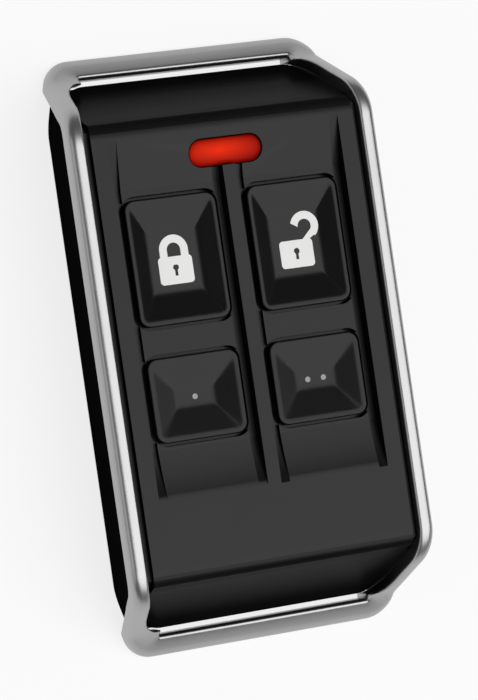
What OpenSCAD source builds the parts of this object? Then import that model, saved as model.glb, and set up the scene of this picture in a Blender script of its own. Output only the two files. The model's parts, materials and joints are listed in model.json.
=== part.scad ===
// Alarm key fob: a black two-piece case in a satin trim frame, with four sprung keys and a signal light.
// It lies on its back. +Z is the outward normal of the key face, +Y points to the light end, and the
// origin is the middle of the back face. All sizes are in millimetres.

/* [Keys] */
// Width of every key cap
key_width = 10.3; // [9:0.1:12]
// Length of the two upper key caps
upper_key_length = 13.5; // [11:0.1:16]
// Length of the two lower key caps
lower_key_length = 9; // [7.5:0.1:12]
// Corner radius of the key caps in plan
key_corner = 1.2; // [0.6:0.1:2]
// Height of a key rim over the channel floor
key_rim = 0.2; // [0.1:0.05:0.4]
// Width of the level rim round the dish of a key
key_edge = 0.5; // [0.3:0.05:0.8]
// Depth of the dish in the upper keys
upper_dish = 1.1; // [0.6:0.05:1.3]
// Depth of the dish in the lower keys
lower_dish = 1; // [0.5:0.05:1.1]
// Radius that softens the foot of a dish
dish_radius = 1.2; // [0.6:0.1:2]
// Flat width in the dish of the upper keys
upper_flat_width = 5.6; // [5.2:0.1:6.4]
// Flat length in the dish of the upper keys
upper_flat_length = 6.6; // [6.4:0.1:8]
// Flat width in the dish of the lower keys
lower_flat_width = 4; // [3:0.1:4.5]
// Flat length in the dish of the lower keys
lower_flat_length = 1.6; // [1.2:0.1:3]
// Running gap between a key and its window, each side
key_clearance = 0.35; // [0.2:0.05:0.45]
// How far a key flange reaches under the edge of its window
flange_hold = 0.5; // [0.3:0.05:0.6]
// Thickness of a key flange
flange_thickness = 0.7; // [0.5:0.05:1]
// Gap over a key flange at rest
flange_gap = 0.1; // [0.05:0.05:0.2]
// Wall of the hollow under a key cap
key_wall = 1; // [0.8:0.05:1.4]
// Material between the dish and the hollow of a key cap
key_roof = 0.7; // [0.6:0.05:0.9]
// How far the pressing post reaches below the key flange
post_length = 1.2; // [1:0.05:1.5]
// Diameter of the post that presses the dome
key_post = 3.2; // [2.4:0.1:3.6]
// Travel of a pressed key
key_travel = 0.75; // [0.5:0.05:0.9]

/* [Channels] */
// Width of the gutter between a key and the channel wall, each side
channel_margin = 0.975; // [0.85:0.025:1.5]
// Depth of the gutters below the channel floor
gutter_depth = 0.6; // [0.4:0.05:0.7]
// Depth of the two finger channels below the face
channel_depth = 1; // [0.8:0.05:1.3]
// Width of the rib between the channels
rib_width = 1.5; // [1.2:0.1:2.5]
// Face between the upper crease and the start of the channels
face_margin = 1.7; // [1.2:0.1:3.4]
// Length of the slope that leads down into a channel
entry_ramp = 5.4; // [5:0.1:8]
// Floor between the entry slope and the upper keys
entry_floor = 1; // [1:0.1:3]
// Floor between the upper and the lower keys
key_spacing = 3.3; // [2.5:0.1:5]
// Floor between the lower keys and the rise at the channel end
exit_floor = 0.7; // [0.6:0.1:2.5]
// Length of the hollow rise at the channel end
exit_ramp = 5.2; // [3.5:0.1:6]
// Share of the mean slope that the rise has from its start
exit_lead = 0.5; // [0.2:0.05:0.8]
// Plain face between the channel end and the lower crease
nose_length = 8.6; // [7.4:0.1:12.4]
// Plain face between a channel and the edge groove
side_strip = 1.8; // [1.4:0.1:3]

/* [Case] */
// Width of the dark groove between face and trim
groove_width = 0.6; // [0.4:0.05:0.8]
// Depth of the groove between face and trim
groove_depth = 0.9; // [0.75:0.05:1.1]
// Fall of the end slopes from the face, in degrees
slope_angle = 64; // [58:1:68]
// Radius of the creases between face and end slopes
crease_round = 2.6; // [0.4:0.1:3]
// Height of the upright end of the case under a slope
end_wall = 1.5; // [1.3:0.1:2]
// Radius of the hollow curve of the end slopes
scoop_radius = 30; // [28:1:60]
// Wall of the case sides
side_wall = 1.2; // [1:0.05:1.6]
// Wall of the end slopes at their hollow
slope_wall = 1.3; // [1:0.05:1.6]
// Floor of the finger channels
channel_wall = 1.2; // [1:0.05:1.5]
// Thickness of the back
back_wall = 1.2; // [1:0.05:1.6]
// Height of the joint between front and rear cover
part_line = 3; // [2.8:0.1:3.4]
// Radius of the long back edges
back_radius = 1.5; // [1:0.1:3.2]
// How far the flanks stand back from the trim
flank_inset = 1.2; // [0.9:0.05:1.4]
// Corner radius of the case ends in plan
case_corner = 2.4; // [1:0.1:3]
// Height of the locating lip over the joint
lip_height = 1.2; // [0.8:0.1:1.6]
// Thickness of the locating lip
lip_thickness = 0.8; // [0.6:0.05:1]
// Gap round the locating lip
lip_gap = 0.1; // [0.05:0.05:0.2]
// Width of the hook at the upper end of the lip
hook_width = 8; // [4:0.5:12]
// How far the hook reaches into the end wall
hook_reach = 0.5; // [0.3:0.05:0.7]
// Height of the hook
hook_height = 0.7; // [0.5:0.05:0.8]
// Width of the bare label recess in the back
label_width = 18; // [12:1:22]
// Length of the bare label recess in the back
label_length = 11; // [8:1:14]
// Depth of the bare label recess in the back
label_depth = 0.2; // [0.1:0.05:0.4]

/* [Trim] */
// Width of a trim rail seen from the front
rail_width = 1.7; // [1.3:0.1:2.4]
// Depth of the trim rails
rail_depth = 2.4; // [2:0.1:3]
// How far the trim stands over the face
rail_proud = 0.4; // [0.2:0.05:0.6]
// How far the legs of the trim stand over the straight line of the end slopes
leg_proud = 1.2; // [0.4:0.1:1.4]
// Thickness of the legs of the trim
leg_depth = 1.8; // [1.4:0.1:2.6]
// Radius of the outer top edge of the rails
rail_round = 0.85; // [0.3:0.05:1.2]
// Gap between trim and case
trim_gap = 0.1; // [0.05:0.05:0.15]
// Width of the end bars
bar_width = 2.4; // [1.5:0.1:3]
// Height where the legs run into the end bars
bar_height = 3.2; // [2.2:0.1:3.6]
// Height of the outer edge of the end bars
bar_edge = 0.8; // [0.6:0.1:1.6]
// Radius of the outer top edge of the end bars
bar_round = 1; // [0.3:0.05:1.2]
// Width of the cord slot between case and end bar
slot_width = 0.6; // [0.5:0.1:2]
// Length of the cord slot
slot_length = 24; // [16:0.5:25]
// Bend radius of the trim at the creases
bend_radius = 5; // [4:0.1:7]
// Radius where a leg runs into its end bar
root_radius = 2; // [0.4:0.1:2.4]
// How much each side narrows towards the ends
taper = 2.4; // [1:0.1:2.8]
// Distance from the crease to the start of the narrowing
taper_delay = 0.3; // [0.2:0.1:1.5]
// Radius where the narrowing starts
taper_radius = 12; // [4:1:14]
// Corner radius of the trim ends in plan
trim_corner = 3; // [2.4:0.1:5]

/* [Light] */
// Width of the light lens
lens_width = 8.2; // [6:0.1:9]
// Length of the light lens
lens_length = 2.9; // [2:0.1:3.2]
// Distance from the upper crease to the lens
lens_offset = 4.1; // [4:0.1:4.6]
// How far the lens stands over the entry slope of the channels
lens_proud = 0.25; // [0.1:0.05:0.35]
// Bevel of the upper and lower edge of the lens
lens_round = 0.5; // [0.2:0.05:0.8]
// Gap round the lens
lens_gap = 0.08; // [0.05:0.01:0.15]
// Rim of the lens under the case wall
lens_flange = 0.8; // [0.5:0.05:1]
// Thickness of the lens rim
lens_flange_thickness = 0.6; // [0.4:0.05:0.8]
// Width of the light emitter
emitter_width = 1.6; // [1.2:0.1:2]
// Length of the light emitter
emitter_length = 0.9; // [0.8:0.1:1.4]
// Height of the light emitter
emitter_height = 0.6; // [0.4:0.05:0.8]
// Gap between emitter and light guide
guide_gap = 0.15; // [0.1:0.05:0.3]

/* [Keypad] */
// Thickness of the rubber sheet
mat_thickness = 0.4; // [0.3:0.05:0.6]
// Border of the rubber sheet round the keys
mat_border = 1.1; // [0.9:0.05:1.2]
// Height of a rubber dome
dome_height = 1.25; // [1.2:0.05:1.5]
// Foot diameter of a rubber dome
dome_foot = 5.6; // [5:0.1:6.5]
// Top diameter of a rubber dome
dome_top_width = 3.8; // [3.7:0.1:4.4]
// Rubber beside the pill and at the dome foot
dome_wall = 0.5; // [0.4:0.05:0.55]
// Gap between a dome and its key post
dome_gap = 0.05; // [0.02:0.01:0.1]
// Diameter of a carbon pill
pill_width = 2.6; // [2:0.1:2.7]
// Gap round a carbon pill in its dome
pill_play = 0.1; // [0.05:0.05:0.15]
// Thickness of a carbon pill
pill_thickness = 0.3; // [0.2:0.05:0.35]
// Gap that a fully pressed pill leaves over its pads
pill_gap = 0.03; // [0.02:0.01:0.05]
// Diameter of a contact pad pair
pad_width = 3.4; // [3:0.1:4]
// Split between the two halves of a contact pad
pad_split = 0.4; // [0.2:0.05:0.6]
// Thickness of the plated pads and tracks
plating = 0.05; // [0.03:0.01:0.08]

/* [Board] */
// Thickness of the circuit board
board_thickness = 0.8; // [0.6:0.1:1.2]
// Gap between the board and the case walls
board_gap = 0.6; // [0.4:0.05:1]
// Corner radius of the board
board_corner = 1.5; // [0.8:0.1:2]
// Diameter of the posts that carry the board
post_width = 3; // [2.6:0.1:3.4]
// Diameter of the pins through the board
pin_width = 1.4; // [1.2:0.1:1.6]
// Gap round a pin in the board
pin_gap = 0.1; // [0.05:0.05:0.2]
// Distance from a crease to the board posts
post_offset = 3.7; // [3.6:0.1:4]
// Distance from the case side to the board posts
post_inset = 3.8; // [3.6:0.1:4.4]
// Width of the square controller chip
controller_width = 5; // [4:0.1:5.4]
// Width of the square radio chip
radio_width = 4; // [3:0.1:4.4]
// Height of the chips
chip_height = 0.9; // [0.7:0.05:1.2]
// Length of the crystal can
crystal_length = 3.2; // [2.5:0.1:3.6]
// Width of the crystal can
crystal_width = 1.5; // [1.2:0.1:1.8]
// Height of the crystal can
crystal_height = 0.8; // [0.6:0.05:1]
// Length of a small chip part
small_length = 1; // [0.8:0.1:1.2]
// Width of a small chip part
small_width = 0.5; // [0.4:0.05:0.6]
// Pitch of the small chip parts
small_pitch = 1; // [0.9:0.05:1.1]
// Width of the antenna track
antenna_width = 0.8; // [0.5:0.1:1]
// Distance from the antenna track to the board edge and to the board posts
antenna_inset = 0.5; // [0.3:0.05:0.6]
// Length of the antenna legs
antenna_leg = 6; // [4:0.5:7]

/* [Cell] */
// Diameter of the coin cell
cell_width = 20; // [16:0.1:21]
// Height of the coin cell
cell_height = 3.2; // [2.5:0.1:4]
// Wall of the cell can
can_wall = 0.3; // [0.2:0.05:0.4]
// Width of the sealing ring between can and cap
seal_width = 0.8; // [0.5:0.05:1]
// How far the cap stands over the can
cap_step = 0.3; // [0.2:0.05:0.5]
// Gap between the parts of the cell
cell_fit = 0.02; // [0.01:0.01:0.04]
// Gap between the cell and the back
cell_play = 0.2; // [0.1:0.05:0.3]
// Gap round the cell in its ring
ring_gap = 0.2; // [0.15:0.05:0.3]
// Wall of the ring that holds the cell
ring_wall = 1; // [0.8:0.05:1.4]
// Height of the ring over the back wall
ring_height = 2.2; // [1.4:0.1:2.4]
// Distance from the case middle to the cell middle
cell_offset = 4; // [3:0.1:5]
// Space between cell and board for the contacts
contact_space = 1; // [0.8:0.05:1.4]
// Thickness of the contact strips
strip = 0.2; // [0.15:0.05:0.3]
// Width of the contact strips
strip_width = 4; // [3:0.1:6]
// Length of the soldered foot of a contact strip
strip_foot = 2.5; // [2:0.1:3]
// Length of the sprung tongue under the board
tongue_length = 6; // [4:0.1:7]
// Length of the level tip of the sprung tongue
tongue_tip = 1.25; // [1:0.05:1.5]
// Gap between a contact strip and the cell
touch_gap = 0.03; // [0.02:0.01:0.05]

/* [Screw] */
// Diameter of the screw shank
screw_width = 1.9; // [1.6:0.1:2.2]
// Length of the screw shank
screw_length = 6; // [4:0.1:6.4]
// Diameter of the screw head
screw_head = 3.8; // [3.4:0.1:4.2]
// Height of the screw head
screw_head_height = 1.1; // [0.9:0.05:1.2]
// Depth of the screw head below the back
screw_sink = 0.3; // [0.2:0.05:0.5]
// Width of the driver cross in the screw head
cross_slot = 0.5; // [0.4:0.05:0.6]
// Length of the driver cross in the screw head
cross_length = 2.5; // [2:0.1:2.8]
// Depth of the driver cross in the screw head
cross_depth = 0.6; // [0.4:0.05:0.7]
// Gap round the screw shank
screw_gap = 0.05; // [0.03:0.01:0.08]
// Gap round the screw head
head_gap = 0.25; // [0.2:0.05:0.35]
// Wall of the screw boss
boss_wall = 1.3; // [1:0.05:1.5]
// Gap between the boss and the screw seat
seat_gap = 0.05; // [0.03:0.01:0.1]
// Thickness of the seat under the screw head
seat_wall = 1.1; // [0.9:0.05:1.3]
// Distance from the lower crease to the screw
screw_offset = 4.7; // [4.6:0.1:5.2]

/* [Marks] */
// Width of a padlock body
lock_width = 3.8; // [3.2:0.1:4]
// Height of a padlock body
lock_height = 2.95; // [2.4:0.05:3.1]
// Corner radius of a padlock body
lock_corner = 0.4; // [0.2:0.05:0.6]
// Outer width of a padlock shackle
shackle_width = 3.2; // [2.6:0.1:3.4]
// Thickness of a padlock shackle
shackle_bar = 0.85; // [0.5:0.05:0.9]
// Height of a padlock shackle over the body
shackle_height = 2.3; // [2:0.1:2.5]
// Distance of an open shackle's middle from the middle of its padlock
open_shift = 1.25; // [1:0.05:1.4]
// Height of an open shackle's middle over the body
open_rise = 1.4; // [1.2:0.05:1.5]
// Swing of an open shackle, in degrees
open_turn = 31; // [20:1:40]
// Distance of the padlock bodies' upper edge over the middle of their keys
sign_rise = 0.4; // [0:0.05:0.5]
// Diameter of the round part of a keyhole
keyhole_width = 0.65; // [0.5:0.05:0.8]
// Width of the slot of a keyhole
keyhole_slot = 0.32; // [0.24:0.02:0.4]
// Length of the slot of a keyhole
keyhole_drop = 0.9; // [0.6:0.05:1]
// Distance of the keyhole's round part over the middle of the body
keyhole_rise = 0.3; // [0.1:0.05:0.5]
// Diameter of a dot
dot_width = 0.6; // [0.5:0.05:0.9]
// Distance between the two dots
dot_pitch = 1.8; // [1.4:0.1:2]
// Height of the marks over the dish of a key
mark_height = 0.08; // [0.04:0.02:0.2]
// Depth of the marks in the dish of a key
mark_inlay = 0.3; // [0.25:0.05:0.4]

/* [Hidden] */
// Rounds are true rounds, and outlines take short chords on their corners
$fn = 64;
corner_steps = 8;
// How far a cut runs past the face that it opens
over = 1;

// Heights, stacked from the back to the front
cell_base = back_wall + cell_play;
cell_top = cell_base + cell_height;
board_base = cell_top + contact_space;
board_top = board_base + board_thickness;
mat_top = board_top + mat_thickness;
dome_top = mat_top + dome_height;
post_base = dome_top + dome_gap;
flange_base = post_base + post_length;
flange_top = flange_base + flange_thickness;
ceiling = flange_top + flange_gap;
channel_floor = ceiling + channel_wall;
face = channel_floor + channel_depth;
case_height = face + rail_proud;
rim_top = channel_floor + key_rim;
upper_dish_base = rim_top - upper_dish;
lower_dish_base = rim_top - lower_dish;
pill_base = board_top + plating + key_travel + pill_gap;
pill_top = pill_base + pill_thickness;

// Places along the length, from the upper crease down
channel_length = entry_ramp + entry_floor + upper_key_length + key_spacing + lower_key_length
    + exit_floor + exit_ramp;
crease = (face_margin + channel_length + nose_length) / 2;
channel_start = crease - face_margin;
entry_end = channel_start - entry_ramp;
upper_key_y = entry_end - entry_floor - upper_key_length / 2;
lower_key_y = upper_key_y - upper_key_length / 2 - key_spacing - lower_key_length / 2;
channel_end = channel_start - channel_length;
exit_start = channel_end + exit_ramp;
lens_y = crease - lens_offset;
rib_start = lens_y - lens_length / 2;
screw_y = screw_offset - crease;
slope_run = (face - end_wall) / tan(slope_angle);
case_end = crease + slope_run;
bar_inner = case_end + slot_width;
half_length = bar_inner + bar_width;
taper_start = crease + taper_delay;
taper_rate = taper / (half_length - taper_start);

// Places across the width, from the middle out
channel_width = key_width + 2 * channel_margin;
key_x = (rib_width + channel_width) / 2;
gutter_x = (key_width + channel_margin) / 2;
core_half = rib_width / 2 + channel_width + side_strip + groove_width;
trim_half = core_half + trim_gap + rail_width;
flank_half = trim_half - flank_inset;
cavity_half = core_half - side_wall;
case_width = 2 * trim_half;

// Underside of the trim, which lies on the flanks
ledge_shift = rail_proud - rail_depth;
leg_shift = leg_proud - leg_depth;
ledge_bend = bend_radius - rail_depth;

// Hollow of the end slopes
slope_chord = slope_run / cos(slope_angle);
scoop_reach = sqrt(scoop_radius * scoop_radius - slope_chord * slope_chord / 4);
scoop_depth = scoop_radius - scoop_reach;
scoop_y = crease + slope_run / 2 + scoop_reach * sin(slope_angle);
scoop_z = (face + end_wall) / 2 + scoop_reach * cos(slope_angle);
cavity_shift = -(slope_wall + scoop_depth);

// Board outline, and posts that carry it
board_half = cavity_half - board_gap;
board_end = slope_y(board_top, cavity_shift) - board_gap;
post_x = core_half - post_inset;
post_y = crease - post_offset;

// Screw seat
head_base = screw_sink + screw_head_height;
seat_top = head_base + seat_wall;
boss_base = seat_top + seat_gap;
boss_radius = screw_width / 2 + screw_gap + boss_wall;
seat_radius = screw_head / 2 + head_gap + boss_wall;
board_hole = boss_radius + board_gap;

// Keypad mat, and the chips below it: the controller on one side, the radio chip and its crystal on the other
mat_upper = upper_key_y + upper_key_length / 2 + mat_border;
mat_lower = lower_key_y - lower_key_length / 2 - mat_border;
chips_top = mat_lower - small_width;
chips_inner = small_pitch + small_width / 2 + small_width;
controller_x = chips_inner + controller_width / 2;
controller_y = chips_top - controller_width / 2;
radio_x = chips_inner + radio_width / 2;
radio_y = chips_top - radio_width / 2;
crystal_x = chips_inner + radio_width + small_width + crystal_width / 2;

// Cell, from the can inwards
can_radius = cell_width / 2;
seal_outer = can_radius - can_wall - cell_fit;
seal_inner = seal_outer - seal_width;
cap_radius = seal_inner - cell_fit;
can_top = cell_top - cap_step;
inner_base = cell_base + can_wall;

// Cell ring
ring_inner = cell_width / 2 + ring_gap;
ring_outer = ring_inner + ring_wall;
clip_y = cell_offset + cell_width / 2 + touch_gap;

// Places and lengths of the four keys
upper_left = [-key_x, upper_key_y];
upper_right = [key_x, upper_key_y];
lower_left = [-key_x, lower_key_y];
lower_right = [key_x, lower_key_y];
upper_size = [key_width, upper_key_length];
lower_size = [key_width, lower_key_length];
sign_offset = [0, sign_rise];
KEYS = [
    [upper_left, upper_size],
    [upper_right, upper_size],
    [lower_left, lower_size],
    [lower_right, lower_size]
];

// Y of an end slope at height z, moved outwards by shift
function slope_y(z, shift) = case_end + (end_wall - z) / tan(slope_angle) + shift / sin(slope_angle);

// Points of the arc that rounds the corner at b between a and c
function arc_points(a, b, c, r) =
    let (
        to_a = (a - b) / norm(a - b),
        to_c = (c - b) / norm(c - b),
        opening = acos(to_a * to_c),
        middle = b + (to_a + to_c) / norm(to_a + to_c) * r / sin(opening / 2),
        start = b + to_a * r / tan(opening / 2) - middle,
        turn = sign(to_a.x * to_c.y - to_a.y * to_c.x) * (opening - 180)
    )
    [for (i = [0:corner_steps])
        let (t = turn * i / corner_steps)
        middle + [start.x * cos(t) - start.y * sin(t), start.x * sin(t) + start.y * cos(t)]];

// Outline through the points, each corner rounded by the radius in its place
function rounded(points, radii) =
    let (n = len(points))
    [for (i = [0:n - 1])
        each radii[i] > 0
            ? arc_points(points[(i + n - 1) % n], points[i], points[(i + 1) % n], radii[i])
            : [points[i]]];

// Right-hand points of an outline, with their mirror images
function both_sides(points) =
    concat(points, [for (i = [len(points) - 1:-1:0]) [-points[i].x, points[i].y]]);

// Radii for such an outline
function both_radii(radii) = concat(radii, [for (i = [len(radii) - 1:-1:0]) radii[i]]);

// Side view of the case: level face and two end slopes, each moved outwards by its own shift
function case_profile(shift, slope_shift, bend) =
    rounded(
        both_sides([
            [slope_y(-over, slope_shift), -over],
            [slope_y(face + shift, slope_shift), face + shift]
        ]),
        both_radii([0, bend]));

// Side view of the trim: rails, legs and end bars
function trim_profile() =
    rounded(
        both_sides([
            [half_length, -over],
            [half_length, bar_edge],
            [slope_y(bar_height, leg_proud), bar_height],
            [slope_y(case_height, leg_proud), case_height]
        ]),
        both_radii([0, bar_round, root_radius, bend_radius]));

// View of a key from its end or side: upright sides, level rim and a dish with a flat in the middle
function dish_profile(half, base, flat_half, dish) =
    rounded(
        both_sides([
            [half, base],
            [half, rim_top],
            [half - key_edge, rim_top],
            [flat_half, rim_top - dish]
        ]),
        both_radii([0, 0, key_edge, dish_radius]));

// Height of the entry slope of a channel of the given depth
function entry_height(y, depth) = face - depth * (channel_start - y) / entry_ramp;

// Side view of a channel of the given depth, from a start on its entry slope to its hollow rise
function channel_profile(start, depth) =
    concat(
        [
            [start, entry_height(start, depth)],
            [start, face + over],
            [channel_end, face + over]
        ],
        [for (i = [corner_steps:-1:0])
            let (t = i / corner_steps)
            [exit_start - exit_ramp * t, face - depth * (1 - exit_lead * t - (1 - exit_lead) * t * t)]],
        [[entry_end, face - depth]]);

// Plan outline with straight sides that narrow towards both ends
module plan(half, end, corner) {
    end_half = half - taper_rate * (end - taper_start);
    right = [[end_half, -end], [half, -taper_start], [half, taper_start], [end_half, end]];
    polygon(rounded(both_sides(right), both_radii([corner, taper_radius, taper_radius, corner])));
}

// Rectangle about the middle with rounded corners
module rounded_plate(width, length, corner) {
    right = [[width / 2, -length / 2], [width / 2, length / 2]];
    polygon(rounded(both_sides(right), both_radii([corner, corner])));
}

// Solid with the given side view (Y, Z), spanning the width
module across(points, width) {
    rotate([90, 0, 90])
        linear_extrude(width, center = true)
            polygon(points);
}

// Solid with the given end view (X, Z), spanning the length
module along(points, length) {
    rotate([90, 0, 0])
        linear_extrude(length, center = true)
            polygon(points);
}

// Layer of the part between two heights
module layer(base, top) {
    width = case_width + 2 * over;
    length = 2 * half_length + 2 * over;
    translate([-width / 2, -length / 2, base])
        cube([width, length, top - base]);
}

// Outer shape of one step of the case
module case_step(half, shift, slope_shift, bend) {
    intersection() {
        linear_extrude(case_height)
            plan(half, case_end, case_corner);
        across(case_profile(shift, slope_shift, bend), case_width);
    }
}

// Outer shape of the closed case, without the trim
module case_shape() {
    intersection() {
        difference() {
            union() {
                case_step(core_half - groove_width, 0, 0, crease_round);
                case_step(core_half, -groove_depth, -groove_depth, 0);
                case_step(flank_half, ledge_shift - trim_gap, leg_shift - trim_gap, ledge_bend - trim_gap);
            }
            for (side = [-1, 1])
                translate([0, side * scoop_y, scoop_z])
                    rotate([0, 90, 0])
                        cylinder(h = case_width, r = scoop_radius, center = true, $fn = 4 * $fn);
        }
        along(
            rounded(
                both_sides([[flank_half, 0], [flank_half, case_height]]),
                both_radii([back_radius, 0])),
            2 * half_length);
    }
}

// Hollow of the case, its walls moved inwards by inset
module cavity(inset) {
    intersection() {
        translate([0, 0, back_wall])
            linear_extrude(ceiling - back_wall)
                plan(cavity_half - inset, case_end, case_corner);
        across(case_profile(cavity_shift - inset, cavity_shift - inset, 0), case_width);
    }
}

// Silver frame: two rails, four legs and two end bars in one piece
module trim_frame() {
    color("silver")
        difference() {
            intersection() {
                linear_extrude(case_height)
                    plan(trim_half, half_length, trim_corner);
                across(trim_profile(), case_width);
                along(
                    rounded(
                        both_sides([[trim_half, 0], [trim_half, case_height]]),
                        both_radii([0, rail_round])),
                    2 * half_length);
            }
            across(case_profile(ledge_shift, leg_shift, ledge_bend), case_width + 2 * over);
            translate([0, 0, -over])
                linear_extrude(case_height + 2 * over)
                    plan(core_half + trim_gap, case_end + trim_gap, case_corner);
            for (side = [-1, 1])
                translate([0, side * (bar_inner + case_end) / 2, case_height / 2])
                    cube([slot_length, slot_width, case_height + 2 * over], center = true);
        }
}

// Room of the two finger channels, of the slope over the rib's start and of the gutters beside the keys
module channels() {
    across(
        [
            [channel_start, face],
            [channel_start, face + over],
            [rib_start, face + over],
            [rib_start, entry_height(rib_start, channel_depth)]
        ],
        2 * key_x);
    for (side = [-1, 1])
        translate([side * key_x, 0, 0]) {
            across(channel_profile(channel_start, channel_depth), channel_width);
            translate([side * gutter_x, 0, 0])
                across(channel_profile(channel_start, channel_depth + gutter_depth), channel_margin);
            translate([-side * gutter_x, 0, 0])
                across(channel_profile(rib_start, channel_depth + gutter_depth), channel_margin);
        }
}

// Black upper shell with channels, key windows, lens window, posts and screw boss
module front_cover() {
    color("dimgray")
        difference() {
            union() {
                difference() {
                    intersection() {
                        case_shape();
                        layer(part_line, case_height);
                    }
                    cavity(0);
                    channels();
                }
                for (x = [-post_x, post_x], y = [-post_y, post_y]) {
                    translate([x, y, board_top])
                        cylinder(h = ceiling - board_top, d = post_width);
                    translate([x, y, board_base - board_thickness / 2])
                        cylinder(h = ceiling - board_base, d = pin_width);
                }
                translate([0, screw_y, boss_base])
                    cylinder(h = ceiling - boss_base, r = boss_radius);
                keypad_rib();
            }
            for (key = KEYS)
                translate([key[0].x, key[0].y, ceiling - over])
                    linear_extrude(case_height)
                        rounded_plate(
                            key[1].x + 2 * key_clearance,
                            key[1].y + 2 * key_clearance,
                            key_corner + key_clearance);
            translate([0, lens_y, ceiling - over])
                linear_extrude(case_height)
                    rounded_plate(
                        lens_width + 2 * lens_gap,
                        lens_length + 2 * lens_gap,
                        lens_length / 2 + lens_gap / 2);
            translate([0, screw_y, boss_base - over])
                cylinder(h = screw_length + over, r = screw_width / 2 + screw_gap);
            hook(lip_gap);
        }
}

// Hook on the upper end of the rear cover's lip, or the room for it with a gap all round
module hook(gap) {
    top = part_line + lip_height;
    inner = slope_y(top, cavity_shift - lip_gap) - lip_thickness / 2;
    outer = slope_y(top, cavity_shift) + hook_reach;
    translate([-hook_width / 2 - gap, inner, top - hook_height - gap])
        cube([hook_width + 2 * gap, outer - inner + gap, hook_height + 2 * gap]);
}

// Rib inside the front cover that holds the rubber sheet down between the keys
module keypad_rib() {
    rib_length = upper_key_y - lower_key_y + (upper_key_length + lower_key_length) / 2;
    rib_y = upper_key_y + upper_key_length / 2 - rib_length / 2;
    flange_edge = key_x - key_width / 2 - key_clearance - flange_hold;
    translate([0, rib_y, (mat_top + dome_gap + ceiling) / 2])
        cube([flange_edge, rib_length, ceiling - mat_top - dome_gap], center = true);
}

// Black lower shell with lip, cell ring, screw seat and label recess
module rear_cover() {
    color("black")
        difference() {
            union() {
                difference() {
                    union() {
                        intersection() {
                            case_shape();
                            layer(0, part_line);
                        }
                        intersection() {
                            cavity(lip_gap);
                            layer(back_wall, part_line + lip_height);
                        }
                    }
                    cavity(lip_gap + lip_thickness);
                }
                hook(0);
                translate([0, cell_offset, 0])
                    cell_ring();
                translate([0, screw_y, back_wall / 2])
                    cylinder(h = seat_top - back_wall / 2, r = seat_radius);
            }
            translate([0, screw_y, -over])
                cylinder(h = head_base + over, r = screw_head / 2 + head_gap);
            translate([0, screw_y, -over])
                cylinder(h = seat_top + 2 * over, r = screw_width / 2 + screw_gap);
            translate([0, cell_offset, -over])
                linear_extrude(label_depth + over)
                    rounded_plate(label_width, label_length, case_corner);
        }
}

// Upright ring that keeps the cell in place, open for the positive clip
module cell_ring() {
    clip_room = strip_width + 2 * ring_wall;
    difference() {
        translate([0, 0, back_wall / 2])
            cylinder(h = back_wall / 2 + ring_height, r = ring_outer);
        translate([0, 0, back_wall])
            cylinder(h = ring_height + over, r = ring_inner);
        translate([-clip_room / 2, 0, back_wall])
            cube([clip_room, ring_outer + over, ring_height + over]);
    }
}

// Screw that holds the rear cover to the boss of the front cover
module case_screw() {
    color("gray")
        translate([0, screw_y, 0])
            difference() {
                union() {
                    translate([0, 0, screw_sink])
                        cylinder(h = screw_head_height, d = screw_head);
                    translate([0, 0, head_base - over / 2])
                        cylinder(h = screw_length + over / 2, d = screw_width);
                }
                for (turn = [0, 90])
                    rotate([0, 0, turn])
                        translate([0, 0, screw_sink + cross_depth - over / 2])
                            cube([cross_length, cross_slot, over], center = true);
            }
}

// Red lens on the entry slope, with its rim inside the case and a light guide to the emitter
module led_lens() {
    half = lens_length / 2;
    bevel_fall = lens_round * channel_depth / entry_ramp;
    upper = entry_height(lens_y + half, channel_depth) + lens_proud;
    lower = entry_height(lens_y - half, channel_depth) + lens_proud;
    base = ceiling - lens_flange_thickness;
    guide_base = board_top + emitter_height + guide_gap;
    color("red")
        translate([0, lens_y, 0]) {
            intersection() {
                translate([0, 0, base])
                    linear_extrude(upper - base)
                        rounded_plate(lens_width, lens_length, half - lens_gap / 2);
                across(
                    [
                        [half, base],
                        [half, upper - lens_round],
                        [half - lens_round, upper - bevel_fall],
                        [lens_round - half, lower + bevel_fall],
                        [-half, lower - lens_round],
                        [-half, base]
                    ],
                    lens_width);
            }
            translate([0, 0, base])
                linear_extrude(lens_flange_thickness - flange_gap)
                    rounded_plate(
                        lens_width + 2 * lens_flange,
                        lens_length + 2 * lens_flange,
                        lens_length / 2);
            translate([0, 0, guide_base])
                linear_extrude(base - guide_base + lens_flange_thickness / 2)
                    rounded_plate(2 * emitter_width, 2 * emitter_length, emitter_length / 2);
        }
}

// Key cap at a place: dished top, hollow underside, flange and pressing post
module key_cap(place, size, flat_width, flat_length, dish) {
    hollow_top = rim_top - dish - key_roof;
    grip = 2 * (key_clearance + flange_hold);
    translate([place.x, place.y, 0]) {
        difference() {
            union() {
                intersection() {
                    translate([0, 0, flange_base])
                        linear_extrude(rim_top - flange_base)
                            rounded_plate(size.x, size.y, key_corner);
                    union() {
                        along(dish_profile(size.x / 2, flange_base, flat_width / 2, dish), size.y);
                        across(dish_profile(size.y / 2, flange_base, flat_length / 2, dish), size.x);
                    }
                }
                translate([0, 0, flange_base])
                    linear_extrude(flange_thickness)
                        rounded_plate(size.x + grip, size.y + grip, key_corner);
            }
            translate([0, 0, flange_base - over])
                linear_extrude(hollow_top - flange_base + over)
                    rounded_plate(size.x - 2 * key_wall, size.y - 2 * key_wall, key_corner);
        }
        translate([0, 0, post_base])
            cylinder(h = hollow_top - post_base + key_roof / 2, d = key_post);
    }
}

module upper_key(place) {
    key_cap(place, upper_size, upper_flat_width, upper_flat_length, upper_dish);
}

module lower_key(place) {
    key_cap(place, lower_size, lower_flat_width, lower_flat_length, lower_dish);
}

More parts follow.
